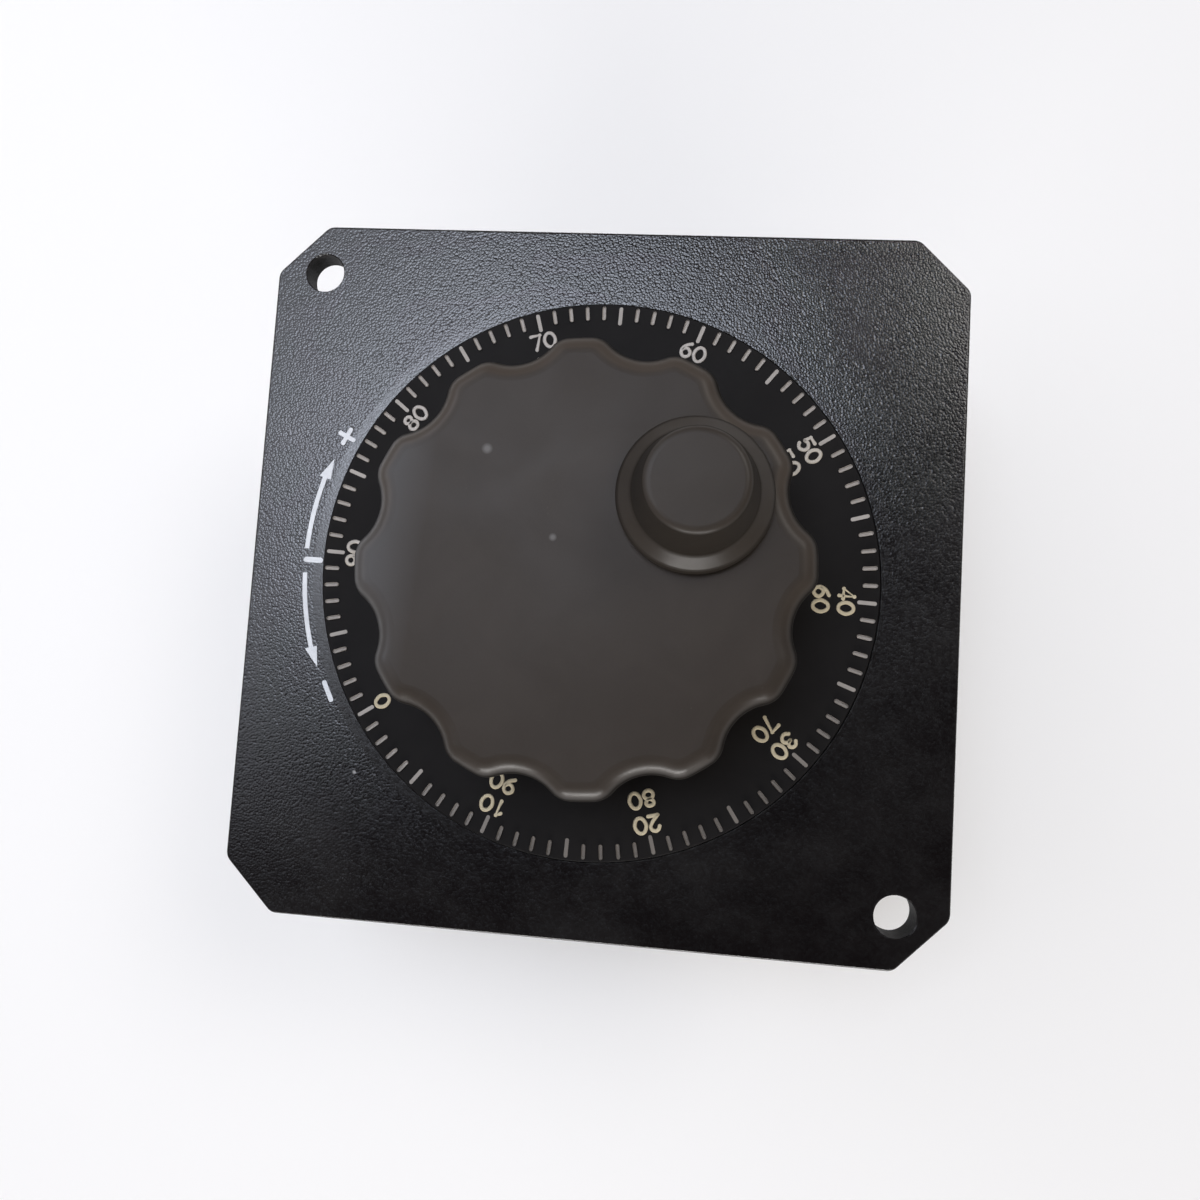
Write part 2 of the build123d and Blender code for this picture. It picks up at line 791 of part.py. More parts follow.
def housing_body():
    """The moulded cup with the bearing boss, ribs, screw bosses and pedestal."""
    inner_front = -housing_front_wall
    boss_end = rear_bearing_bottom - ring_thickness
    body = disc(housing_radius, housing_end, 0) - disc(housing_inner_radius, housing_end, inner_front)
    body += disc(spigot_radius, boss_end, recess_floor)
    rib = Pos(0, 0, inner_front - housing_rib_depth) * Box(
        housing_inner_radius + housing_wall / 2,
        housing_rib_thickness,
        housing_rib_depth + housing_front_wall / 2,
        align=(Align.MIN, Align.CENTER, Align.MIN),
    )
    body += around(rib, 0, even_angles(housing_rib_count))
    body += around(disc(board_boss_radius, board_front, inner_front), board_boss_circle, board_boss_angles)
    wide_boss = disc(cover_boss_radius, housing_end, inner_front)
    envelope = disc(housing_radius, housing_end, 0)
    body += [boss & envelope for boss in around(wide_boss, cover_boss_circle, cover_boss_angles)]
    body += housing_pedestal()
    body -= disc(bearing_outer_radius + fit_clearance, front_bearing_bottom, recess_floor)
    body -= disc(bearing_outer_radius + fit_clearance, boss_end, rear_bearing_top)
    body -= disc(bearing_outer_radius - race_wall, rear_bearing_top, front_bearing_bottom)
    plate_hole = disc(plate_screw_radius + fit_clearance, recess_floor - plate_screw_length, 0)
    body -= around(plate_hole, board_boss_circle, board_boss_angles)
    board_hole = disc(board_screw_radius + fit_clearance, board_front, board_rear + board_screw_length)
    body -= around(board_hole, board_boss_circle, board_boss_angles)
    cover_hole = disc(cover_screw_radius + fit_clearance, housing_end, cover_rear + cover_screw_length)
    return body - around(cover_hole, cover_boss_circle, cover_boss_angles)


def cover_seal():
    """The flat gasket on the housing's rim."""
    outer = housing_radius - cover_seal_margin
    return ring(outer, housing_inner_radius + cover_seal_margin, cover_front, housing_end)


def rear_cover():
    """The round back plate with the window for the terminal strip."""
    cover = disc(housing_radius, cover_rear, cover_front)
    rim = cover.faces().sort_by(Axis.Z)[0].edges()
    cover = chamfer(rim, cover_bevel)
    window = Box(
        terminal_length + 2 * loose_clearance,
        terminal_width + 2 * loose_clearance,
        cover_thickness,
        align=(Align.CENTER, Align.CENTER, Align.MIN),
    )
    cover -= Pos(0, 0, cover_rear) * window
    hole = disc(cover_screw_radius + running_clearance, cover_rear, cover_front)
    return cover - around(hole, cover_boss_circle, cover_boss_angles)


def rear_cover_screws():
    """The screws that hold the cover on the housing's bosses."""
    screw = pan_screw(cover_screw_head, cover_screw_radius, cover_screw_length, cover_rear)
    return group(around(screw, cover_boss_circle, cover_boss_angles))


def terminal_places():
    """The X of each terminal's middle."""
    first = -(terminal_count - 1) / 2 * terminal_pitch
    return [first + step * terminal_pitch for step in range(terminal_count)]


def terminal_block():
    """The moulded strip with a raised wall on each side of every terminal."""
    middle = (Align.CENTER, Align.CENTER, Align.MIN)
    block = Box(terminal_length, terminal_width, terminal_floor_height, align=middle)
    block = Pos(0, 0, terminal_floor) * block
    wall = Box(barrier_thickness, terminal_width, barrier_height, align=middle)
    edges = [x - terminal_pitch / 2 for x in terminal_places()]
    edges.append(edges[-1] + terminal_pitch)
    block += [Pos(x, 0, terminal_floor - barrier_height) * wall for x in edges]
    seat = terminal_floor - terminal_plate_thickness
    hole = disc(terminal_screw_radius + fit_clearance, terminal_floor, seat + terminal_screw_length)
    return block - [Pos(x, 0, 0) * hole for x in terminal_places()]


def terminal_plates():
    """The metal plates that the wires are clamped on."""
    width = terminal_pitch - barrier_thickness - 2 * loose_clearance
    top = (Align.CENTER, Align.CENTER, Align.MAX)
    plate = Box(width, terminal_plate_length, terminal_plate_thickness, align=top)
    seat = terminal_floor - terminal_plate_thickness
    plate = Pos(0, 0, terminal_floor) * plate
    plate -= disc(terminal_screw_radius + running_clearance, seat, terminal_floor)
    return group([Pos(x, 0, 0) * plate for x in terminal_places()])


def terminal_screws():
    """The terminals' clamping screws."""
    seat = terminal_floor - terminal_plate_thickness
    screw = pan_screw(terminal_screw_head, terminal_screw_radius, terminal_screw_length, seat)
    return group([Pos(x, 0, 0) * screw for x in terminal_places()])


pieces = {
    "front_plate": front_plate(),
    "plate_screws": plate_screws(),
    "dial_disc": dial_disc(),
    "dial_screws": dial_screws(),
    "handwheel": handwheel(),
    "hub_sleeve": hub_sleeve(),
    "grub_screws": grub_screws(),
    "knob_bush": knob_bush(),
    "knob_washer": knob_washer(),
    "crank_knob": crank_knob(),
    "knob_pin": knob_pin(),
    "knob_clip": knob_clip(),
    "shaft": shaft(),
    "retaining_ring": retaining_ring(),
    "bearing_spacer": bearing_spacer(),
    "shaft_seal": shaft_seal(),
    "front_inner_race": inner_race(front_bearing_top),
    "front_outer_race": outer_race(front_bearing_top),
    "front_balls": ball_set(front_bearing_top),
    "front_cage": cage(front_bearing_top),
    "rear_inner_race": inner_race(rear_bearing_top),
    "rear_outer_race": outer_race(rear_bearing_top),
    "rear_balls": ball_set(rear_bearing_top),
    "rear_cage": cage(rear_bearing_top),
    "detent_rotor": detent_rotor(),
    "detent_poles": detent_poles(),
    "detent_magnet": detent_magnet(),
    "detent_screws": detent_screws(),
    "code_disc": code_disc(),
    "code_disc_hub": code_disc_hub(),
    "light_barrier": light_barrier(),
    "circuit_board": circuit_board(),
    "board_screws": board_screws(),
    "line_driver": line_driver(),
    "capacitors": capacitors(),
    "housing_body": housing_body(),
    "cover_seal": cover_seal(),
    "rear_cover": rear_cover(),
    "rear_cover_screws": rear_cover_screws(),
    "terminal_block": terminal_block(),
    "terminal_plates": terminal_plates(),
    "terminal_screws": terminal_screws(),
}

os.makedirs("parts", exist_ok=True)
for name, shape in pieces.items():
    export_step(shape, f"parts/{name}.step")
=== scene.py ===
import bpy
from math import cos, pi, radians, sin
from mathutils import Matrix, Vector


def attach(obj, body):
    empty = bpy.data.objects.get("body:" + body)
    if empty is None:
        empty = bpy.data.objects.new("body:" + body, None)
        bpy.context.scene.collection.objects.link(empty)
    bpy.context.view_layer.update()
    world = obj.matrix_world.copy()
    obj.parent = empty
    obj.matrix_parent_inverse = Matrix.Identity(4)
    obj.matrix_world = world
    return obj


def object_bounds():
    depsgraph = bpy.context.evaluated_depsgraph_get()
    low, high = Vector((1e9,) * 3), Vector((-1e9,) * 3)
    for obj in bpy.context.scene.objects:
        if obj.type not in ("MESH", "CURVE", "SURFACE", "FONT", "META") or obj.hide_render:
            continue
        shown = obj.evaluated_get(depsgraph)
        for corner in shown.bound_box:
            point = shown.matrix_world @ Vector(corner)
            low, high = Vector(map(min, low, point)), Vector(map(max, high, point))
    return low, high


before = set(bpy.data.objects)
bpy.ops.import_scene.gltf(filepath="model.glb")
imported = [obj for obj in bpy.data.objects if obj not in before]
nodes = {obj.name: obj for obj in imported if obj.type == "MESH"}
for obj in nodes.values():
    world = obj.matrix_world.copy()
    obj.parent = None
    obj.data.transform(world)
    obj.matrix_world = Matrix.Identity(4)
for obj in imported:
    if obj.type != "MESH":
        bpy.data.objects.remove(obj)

# Pulse generator handwheel: finishes, dial marks, plate print, light and camera.
# Lengths are in metres. Angles are in degrees, anticlockwise from the X axis.
mm = 0.001
cad_low, cad_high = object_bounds()

# Heights of the plate, dial and wheel faces and of the ink on them, and the knob's place on the wheel
plate_top = 3.0 * mm
dial_top = 3.5 * mm
wheel_top = 19.5 * mm
ink_height = 0.025 * mm
knob_axis = (0.009806, 0.006564, 0.0)

# Dial marks
mark_count = 100
marks_to_long_one = 5
marks_to_number = 10
zero_mark_angle = 213.8
mark_step = 3.6
mark_width = 0.4 * mm
mark_outer = 29.5 * mm
mark_inner = 27.95 * mm
long_mark_inner = 27.5 * mm

# Dial numbers
number_stroke = 0.4 * mm
number_height = 1.58 * mm
number_pitch = 1.48 * mm
outer_number_radius = 26.4 * mm
inner_number_radius = 23.8 * mm

# Print on the plate: each sign's length, width, radius and angle, and the arrows' first and last angle
index_line = (2.2 * mm, 0.6 * mm, 31.15 * mm, 179.8)
plus_sign = (2.2 * mm, 0.48 * mm, 31.8 * mm, 153.8)
minus_sign = (2.5 * mm, 0.52 * mm, 31.6 * mm, 206.5)
upper_arrow = (177.6, 159.0)
lower_arrow = (182.4, 201.3)
arrow_radius = 32.0 * mm
arrow_stroke = 0.5 * mm
arrow_head = 4.1
arrow_head_overlap = 0.85
arrow_half_width = 0.68 * mm
arrow_nose_shift = 0.15 * mm
arrow_line_steps = 14

# Fineness of the ink's beads and bars
bar_corner_share = 0.49
bar_corner_steps = 3
pen_bend_steps = 4
pen_edge_steps = 1
dot_segments, dot_rings = 10, 6

# Sockets of a Mix node that mixes colours
mix_amount, mix_first, mix_second, mix_result = 0, 6, 7, 2


def pick_only(*objects):
    """Selects these objects alone and makes the first one active."""
    bpy.ops.object.select_all(action="DESELECT")
    for obj in objects:
        obj.select_set(True)
    bpy.context.view_layer.objects.active = objects[0]


def settle(obj):
    """Puts an object's place, turn and size into its mesh."""
    pick_only(obj)
    bpy.ops.object.transform_apply(location=True, rotation=True, scale=True)
    return obj


def apply_modifiers(obj):
    """Applies every modifier of a piece."""
    pick_only(obj)
    for modifier in list(obj.modifiers):
        bpy.ops.object.modifier_apply(modifier=modifier.name)
    return obj


def join(name, pieces):
    """One piece from one or more."""
    pick_only(*pieces)
    if len(pieces) > 1:
        bpy.ops.object.join()
    pieces[0].name = name
    return pieces[0]


def copy_of(piece, move):
    """A copy with its own mesh, moved by a matrix."""
    twin = piece.copy()
    twin.data = piece.data.copy()
    twin.data.transform(move)
    bpy.context.collection.objects.link(twin)
    return twin


def at_mark(radius, angle, height):
    """The place of an upright print on the dial or plate, with its top pointing outwards."""
    spin = Matrix.Rotation(radians(angle - 90), 4, "Z")
    return spin @ Matrix.Translation((0, radius, height))


# Shader nodes

def add(tree, kind, values=None, **settings):
    """Adds a node with its settings and the values of its named sockets."""
    node = tree.nodes.new(kind)
    for key, value in settings.items():
        setattr(node, key, value)
    for key, value in (values or {}).items():
        node.inputs[key].default_value = value
    return node


def feed(tree, socket, value):
    """Gives a socket a number, a colour, or the output of another node."""
    if isinstance(value, tuple):
        socket.default_value = (*value, 1.0)
    elif isinstance(value, (int, float)):
        socket.default_value = value
    else:
        tree.links.new(value, socket)


def sums(tree, operation, *values):
    """A math node between sockets or numbers."""
    node = add(tree, "ShaderNodeMath", operation=operation)
    for slot, value in enumerate(values):
        feed(tree, node.inputs[slot], value)
    return node.outputs[0]


def product(tree, first, second):
    """One value times another."""
    return sums(tree, "MULTIPLY", first, second)


def plus_share(tree, base, value, share):
    """A base value plus a share of another value."""
    return sums(tree, "MULTIPLY_ADD", value, share, base)


def spread(tree, value, low, high, to_low=0.0, to_high=1.0):
    """Maps a value from one range to another and stops at both ends."""
    ends = {"From Min": low, "From Max": high, "To Min": to_low, "To Max": to_high}
    node = add(tree, "ShaderNodeMapRange", ends)
    tree.links.new(value, node.inputs["Value"])
    return node.outputs["Result"]


def full_range(tree, value):
    """Stretches a noise, which keeps near its middle, to the full range."""
    lowest, highest = 0.3, 0.7
    return spread(tree, value, lowest, highest)


def here(tree):
    """The place on the object."""
    return add(tree, "ShaderNodeTexCoord").outputs["Object"]


def face(tree):
    """The way the surface faces, before any bump."""
    return add(tree, "ShaderNodeNewGeometry").outputs["Normal"]


def axes_of(tree, vector):
    """The X, Y and Z of a vector or colour."""
    node = add(tree, "ShaderNodeSeparateXYZ")
    tree.links.new(vector, node.inputs[0])
    return node.outputs["X"], node.outputs["Y"], node.outputs["Z"]


def radius_of(tree, x, y):
    """The distance from the Z axis."""
    return sums(tree, "SQRT", plus_share(tree, product(tree, x, x), y, y))


def noise(tree, place, scale, detail=2.0, roughness=0.5, distortion=0.0):
    """Noise at a fixed or a linked scale."""
    values = {"Detail": detail, "Roughness": roughness, "Distortion": distortion}
    node = add(tree, "ShaderNodeTexNoise", values)
    tree.links.new(place, node.inputs["Vector"])
    feed(tree, node.inputs["Scale"], scale)
    return node.outputs["Fac"]


def cells(tree, place, scale):
    """Rounded cells, each with a distance from its middle and a colour of its own."""
    node = add(tree, "ShaderNodeTexVoronoi", feature="F1")
    tree.links.new(place, node.inputs["Vector"])
    tree.links.new(scale, node.inputs["Scale"])
    return node.outputs["Distance"], node.outputs["Color"]


def fleck(tree, place, centre, radius):
    """A single soft speck at a place."""
    core_share = 0.35
    gap = add(tree, "ShaderNodeVectorMath", {1: centre}, operation="DISTANCE")
    tree.links.new(place, gap.inputs[0])
    return spread(tree, gap.outputs["Value"], radius, core_share * radius)


# Shader groups that the finishes share

def shader_group(name, inputs, outputs):
    """An empty shader group with its sockets."""
    tree = bpy.data.node_groups.new(name, "ShaderNodeTree")
    for label, value in inputs.items():
        kind = "NodeSocketVector" if isinstance(value, tuple) else "NodeSocketFloat"
        tree.interface.new_socket(label, in_out="INPUT", socket_type=kind).default_value = value
    for label in outputs:
        tree.interface.new_socket(label, in_out="OUTPUT", socket_type="NodeSocketFloat")
    return tree, tree.nodes.new("NodeGroupInput").outputs, tree.nodes.new("NodeGroupOutput").inputs


def powder_coat_group():
    """Fine leathery grain of a baked powder coat: low domes, each with a tone of its own."""
    tree, given, result = shader_group("powder coat grain", {"Grains per metre": 3900.0}, ["Height", "Tone"])
    wave_share = 0.3
    place = here(tree)
    scale = given["Grains per metre"]
    waves = noise(tree, place, scale, detail=1.0)
    distance, colour = cells(tree, place, scale)
    dome = product(tree, distance, distance)
    tree.links.new(plus_share(tree, product(tree, waves, wave_share), dome, -1.0), result["Height"])
    tree.links.new(axes_of(tree, colour)[0], result["Tone"])
    return tree


def soft_patches_group():
    """Wide uneven patches, as handling and moulding leave."""
    tree, given, result = shader_group("soft patches", {"Patches per metre": 60.0}, ["Amount"])
    cloud = noise(tree, here(tree), given["Patches per metre"], detail=4.0, roughness=0.6, distortion=0.8)
    tree.links.new(full_range(tree, cloud), result["Amount"])
    return tree


def moulded_skin_group():
    """Satin skin of a moulding: very fine spark-eroded grain with faint flow marks."""
    tree, given, result = shader_group("moulded skin", {"Grains per metre": 5200.0}, ["Height", "Tone"])
    flow_marks_per_metre = 150.0
    flow_height = 0.15
    flow_tone, fine_tone = 0.7, 0.3
    place = here(tree)
    fine = noise(tree, place, given["Grains per metre"], detail=3.0, roughness=0.6)
    flow = noise(tree, place, flow_marks_per_metre, detail=3.0, distortion=1.5)
    tree.links.new(plus_share(tree, fine, flow, flow_height), result["Height"])
    tone = plus_share(tree, product(tree, fine, fine_tone), flow, flow_tone)
    tree.links.new(full_range(tree, tone), result["Tone"])
    return tree


def rubbed_rim_group():
    """Rounded rims, which hands rub smooth, and the sides below them, by how far a face leans from level. The
    sides and the upper rims are also the masks for painted shade and a painted highlight.
    """
    tree, given, result = shader_group("rubbed rim", {"Breaks per metre": 500.0}, ["Rim", "Side", "Upper"])
    flat_slope, rim_slope = 0.998, 0.95
    side_start, side_full = 0.74, 0.45
    break_start, break_full, least_at_breaks = 0.3, 0.6, 0.75
    far_corner, near_corner, far_share = 12 * mm, -4 * mm, 0.2
    upper_start, upper_full = -6 * mm, 8 * mm
    slope = axes_of(tree, face(tree))[2]
    lean = spread(tree, slope, flat_slope, rim_slope)
    breaks = noise(tree, here(tree), given["Breaks per metre"])
    uneven = spread(tree, breaks, break_start, break_full, least_at_breaks, 1.0)
    x, y, _ = axes_of(tree, here(tree))
    lower_left = spread(tree, sums(tree, "ADD", x, y), far_corner, near_corner, far_share, 1.0)
    uneven = product(tree, uneven, lower_left)
    side = spread(tree, slope, side_start, side_full)
    rounded = sums(tree, "SUBTRACT", lean, side)
    tree.links.new(product(tree, rounded, uneven), result["Rim"])
    tree.links.new(side, result["Side"])
    # Upper rims: the mask for a painted highlight on the rims that face the light
    tree.links.new(product(tree, rounded, spread(tree, y, upper_start, upper_full)), result["Upper"])
    return tree


def worn_edges_group():
    """Where an outside edge is rubbed: where a rounded copy of the surface faces another way."""
    tree, given, result = shader_group("worn edges", {"Reach": 0.3 * mm, "Breaks per metre": 900.0}, ["Worn"])
    flat_likeness, edge_likeness = 0.99, 0.8
    break_start, break_full = 0.42, 0.62
    rounded = add(tree, "ShaderNodeBevel", samples=4)
    tree.links.new(given["Reach"], rounded.inputs["Radius"])
    likeness = add(tree, "ShaderNodeVectorMath", operation="DOT_PRODUCT")
    tree.links.new(rounded.outputs["Normal"], likeness.inputs[0])
    tree.links.new(face(tree), likeness.inputs[1])
    edge = spread(tree, likeness.outputs["Value"], flat_likeness, edge_likeness)
    breaks = noise(tree, here(tree), given["Breaks per metre"], detail=3.0, roughness=0.6)
    tree.links.new(product(tree, edge, spread(tree, breaks, break_start, break_full)), result["Worn"])
    return tree


def settled_dust_group():
    """Thin dust with a few light specks on faces that look up."""
    tree, given, result = shader_group("settled dust", {"Specks per metre": 1500.0}, ["Dust"])
    bare_patches_per_metre, bare, covered = 210.0, 0.6, 0.72
    film_patches_per_metre, film_start, film_full, film_share = 90.0, 0.45, 0.75, 0.35
    dot_outside, dot_inside = 0.16, 0.05
    slope_start, slope_full = 0.6, 0.95
    place = here(tree)
    distance, _ = cells(tree, place, given["Specks per metre"])
    dots = spread(tree, distance, dot_outside, dot_inside)
    rare = spread(tree, noise(tree, place, bare_patches_per_metre, roughness=0.6), bare, covered)
    up = spread(tree, axes_of(tree, face(tree))[2], slope_start, slope_full)
    cloud = noise(tree, place, film_patches_per_metre, detail=4.0, roughness=0.65)
    film = product(tree, spread(tree, cloud, film_start, film_full), film_share)
    both = sums(tree, "MAXIMUM", product(tree, dots, rare), film)
    tree.links.new(product(tree, both, up), result["Dust"])
    return tree


def turned_metal_group():
    """Rings that a lathe leaves round the Z axis of the vector given."""
    inputs = {"Vector": (0.0, 0.0, 0.0), "Rings per metre": 9000.0}
    tree, given, result = shader_group("turning rings", inputs, ["Height", "Tone"])
    x, y, z = axes_of(tree, given["Vector"])
    line = add(tree, "ShaderNodeCombineXYZ")
    tree.links.new(radius_of(tree, x, y), line.inputs["X"])
    tree.links.new(z, line.inputs["Y"])
    rings = noise(tree, line.outputs[0], given["Rings per metre"], roughness=0.6)
    tree.links.new(rings, result["Height"])
    tree.links.new(full_range(tree, rings), result["Tone"])
    return tree


groups = {
    "powder": powder_coat_group(),
    "patches": soft_patches_group(),
    "skin": moulded_skin_group(),
    "worn": worn_edges_group(),
    "rim": rubbed_rim_group(),
    "dust": settled_dust_group(),
    "turned": turned_metal_group(),
}


def group_in(tree, name, **values):
    """Places a shared group in a material, with its own values."""
    node = add(tree, "ShaderNodeGroup", node_tree=groups[name])
    for key, value in values.items():
        node.inputs[key.replace("_", " ")].default_value = value
    return node


# Finishes

def new_material(name, metallic=0.0, **settings):
    """A material with its Principled shader, whose plain values sit on the shader itself."""
    material = bpy.data.materials.new(name)
    material.use_nodes = True
    tree = material.node_tree
    shader = tree.nodes["Principled BSDF"]
    shader.inputs["Metallic"].default_value = metallic
    for key, value in settings.items():
        shader.inputs[key.replace("_", " ")].default_value = value
    return material, tree, shader


def blend(tree, amount, first, second):
    """A colour between two, each of them a colour or a socket."""
    node = add(tree, "ShaderNodeMix", data_type="RGBA")
    feed(tree, node.inputs[mix_first], first)
    feed(tree, node.inputs[mix_second], second)
    tree.links.new(amount, node.inputs[mix_amount])
    return node.outputs[mix_result]


def blend_share(tree, amount, share, first, second):
    """A colour between two, by a share of the amount."""
    return blend(tree, product(tree, amount, share), first, second)


def shade(colour, factor, lift=0.0):
    """A colour made darker or lighter."""
    return tuple(min(1.0, factor * value + lift) for value in colour)


def dress(tree, shader, colour, rough, height, depth):
    """Feeds the shader's colour, its roughness and, through a bump, its normal."""
    tree.links.new(colour, shader.inputs["Base Color"])
    tree.links.new(rough, shader.inputs["Roughness"])
    relief = add(tree, "ShaderNodeBump", {"Distance": depth, "Strength": 1.0})
    tree.links.new(height, relief.inputs["Height"])
    tree.links.new(relief.outputs["Normal"], shader.inputs["Normal"])


def powder_coat_finish():
    """Black powder coat, coarser towards the upper left, smoother in a band beside the dial's left edge, which
    is also lighter as a painted highlight, and rubbed on its edges.
    """
    black, lighter_black = (0.0022, 0.0014, 0.0015), (0.0034, 0.0022, 0.0024)
    band_highlight_colour, dust_colour = (0.02, 0.019, 0.018), (0.35, 0.34, 0.32)
    worn_colour, speck_colour = (0.11, 0.11, 0.11), (0.3, 0.29, 0.28)
    speck_place, speck_radius = (-24.59 * mm, -22.54 * mm, plate_top), 0.25 * mm
    band_outside, band_inside = 31.3 * mm, 30.9 * mm
    left_start, left_full = -8 * mm, -24 * mm
    wall_start, wall_full = 0.5, 0.2
    band_highlight_share, dust_share, worn_share = 0.5, 0.07, 0.35
    plain_roughness, patch_roughness, grain_roughness, wall_roughness = 0.25, 0.03, -0.1, 0.5
    grain_depth, band_flattening = 0.03 * mm, 0.75
    lower_right_end, upper_left_end = -28 * mm, 36 * mm
    lower_right_grain, upper_left_grain = 0.35, 1.12

    material, tree, shader = new_material("black_powder_coat", Specular_IOR_Level=0.63)
    grain = group_in(tree, "powder", Grains_per_metre=3900.0).outputs
    patches = group_in(tree, "patches", Patches_per_metre=45.0).outputs["Amount"]
    worn = group_in(tree, "worn", Reach=0.25 * mm, Breaks_per_metre=700.0).outputs["Worn"]
    dust = group_in(tree, "dust", Specks_per_metre=900.0).outputs["Dust"]
    place = here(tree)
    x, y, _ = axes_of(tree, place)
    left = spread(tree, x, left_start, left_full)
    band = product(tree, spread(tree, radius_of(tree, x, y), band_outside, band_inside), left)

    colour = blend(tree, grain["Tone"], black, lighter_black)
    # Painted highlight: a lighter band beside the dial's edge on the lit left side
    colour = blend_share(tree, band, band_highlight_share, colour, band_highlight_colour)
    colour = blend_share(tree, dust, dust_share, colour, dust_colour)
    colour = blend_share(tree, worn, worn_share, colour, worn_colour)
    colour = blend(tree, fleck(tree, place, speck_place, speck_radius), colour, speck_colour)

    slope = sums(tree, "ABSOLUTE", axes_of(tree, face(tree))[2])
    walls = spread(tree, slope, wall_start, wall_full)
    rough = plus_share(tree, plain_roughness, patches, patch_roughness)
    rough = plus_share(tree, rough, grain["Tone"], grain_roughness)
    rough = plus_share(tree, rough, walls, wall_roughness)

    upwards_and_left = plus_share(tree, y, x, -0.5)
    coarseness = spread(tree, upwards_and_left, lower_right_end, upper_left_end,
                        lower_right_grain, upper_left_grain)
    unbanded = sums(tree, "SUBTRACT", 1.0, product(tree, band, band_flattening))
    height = product(tree, grain["Height"], product(tree, unbanded, coarseness))
    dress(tree, shader, colour, rough, height, grain_depth)
    return material


def left_lobes(tree):
    """A painted highlight: a pale sheen that grows towards the wheel's left lobes, where the light falls."""
    sheen_start, sheen_full, most_sheen = 14.5 * mm, 19.5 * mm, 0.75
    x, y, _ = axes_of(tree, here(tree))
    outwards = plus_share(tree, product(tree, x, -1.0), y, 0.08)
    return spread(tree, outwards, sheen_start, sheen_full, 0.0, most_sheen)


def moulded_finish(name, dark, light, roughness, grain=5200.0, depth=0.006, edge=0.3, dusty=0.05,
                   specular=0.5, coat_roughness=0.3, rim=0.0, side_shade=0.8, specks=(), left_sheen=False):
    """Moulded plastic with a satin skin, a little dust, and rubbed edges, with painted shade on the sides below
    a rim and, where asked, painted highlights on the upper rims and left lobes. depth is the grain's, in mm.
    """
    dust_colour, speck_colour = (0.4, 0.38, 0.35), (0.2, 0.19, 0.18)
    left_sheen_colour = (0.082, 0.079, 0.078)
    speck_share, upper_rim_highlight_share = 0.5, 0.8
    patch_roughness, dust_roughness, side_roughness = 0.08, 0.15, 0.5

    material, tree, shader = new_material(name, Specular_IOR_Level=specular, Coat_Roughness=coat_roughness)
    skin = group_in(tree, "skin", Grains_per_metre=grain).outputs
    patches = group_in(tree, "patches", Patches_per_metre=70.0).outputs["Amount"]
    worn = group_in(tree, "worn", Reach=0.3 * mm, Breaks_per_metre=1100.0).outputs["Worn"]
    dust = group_in(tree, "dust", Specks_per_metre=1300.0).outputs["Dust"]
    colour = blend(tree, skin["Tone"], dark, light)
    colour = blend_share(tree, worn, edge, colour, shade(light, 1.6, 0.03))
    colour = blend_share(tree, dust, dusty, colour, dust_colour)
    for centre, radius in specks:
        speck = fleck(tree, here(tree), centre, radius)
        colour = blend_share(tree, speck, speck_share, colour, speck_colour)
    rough = plus_share(tree, roughness - patch_roughness / 2, patches, patch_roughness)
    rough = plus_share(tree, rough, dust, dust_roughness)
    if rim:
        rubbed = group_in(tree, "rim", Breaks_per_metre=500.0).outputs
        tree.links.new(product(tree, rubbed["Rim"], rim), shader.inputs["Coat Weight"])
        rough = plus_share(tree, rough, rubbed["Side"], side_roughness)
        if left_sheen:
            # Painted highlight: a pale sheen on the wheel's left lobes
            colour = blend(tree, left_lobes(tree), colour, left_sheen_colour)
            # Painted highlight: the upper rims, which face the light, are made paler
            colour = blend_share(tree, rubbed["Upper"], upper_rim_highlight_share, colour, shade(light, 1.7))
        # Painted shade: the steep sides below the rims are darkened
        colour = blend_share(tree, rubbed["Side"], side_shade, colour, shade(dark, 0.12))
    dress(tree, shader, colour, rough, skin["Height"], depth * mm)
    return material


def metal_finish(name, dark, light, roughness, centre=(0.0, 0.0, 0.0), rings=9000.0, depth=0.004,
                 tarnish=0.15):
    """Turned or ground metal, with fine rings round an axis and a faint film. depth is the rings', in mm."""
    patch_roughness, ring_roughness = 0.12, 0.05
    material, tree, shader = new_material(name, metallic=1.0)
    shift = add(tree, "ShaderNodeMapping", {"Location": tuple(-value for value in centre)})
    tree.links.new(here(tree), shift.inputs["Vector"])
    turned = group_in(tree, "turned", Rings_per_metre=rings)
    tree.links.new(shift.outputs["Vector"], turned.inputs["Vector"])
    turned = turned.outputs
    patches = group_in(tree, "patches", Patches_per_metre=160.0).outputs["Amount"]
    colour = blend(tree, turned["Tone"], dark, light)
    colour = blend_share(tree, patches, tarnish, colour, shade(dark, 0.55))
    rough = plus_share(tree, roughness, patches, patch_roughness)
    rough = plus_share(tree, rough, turned["Tone"], ring_roughness)
    dress(tree, shader, colour, rough, turned["Height"], depth * mm)
    return material


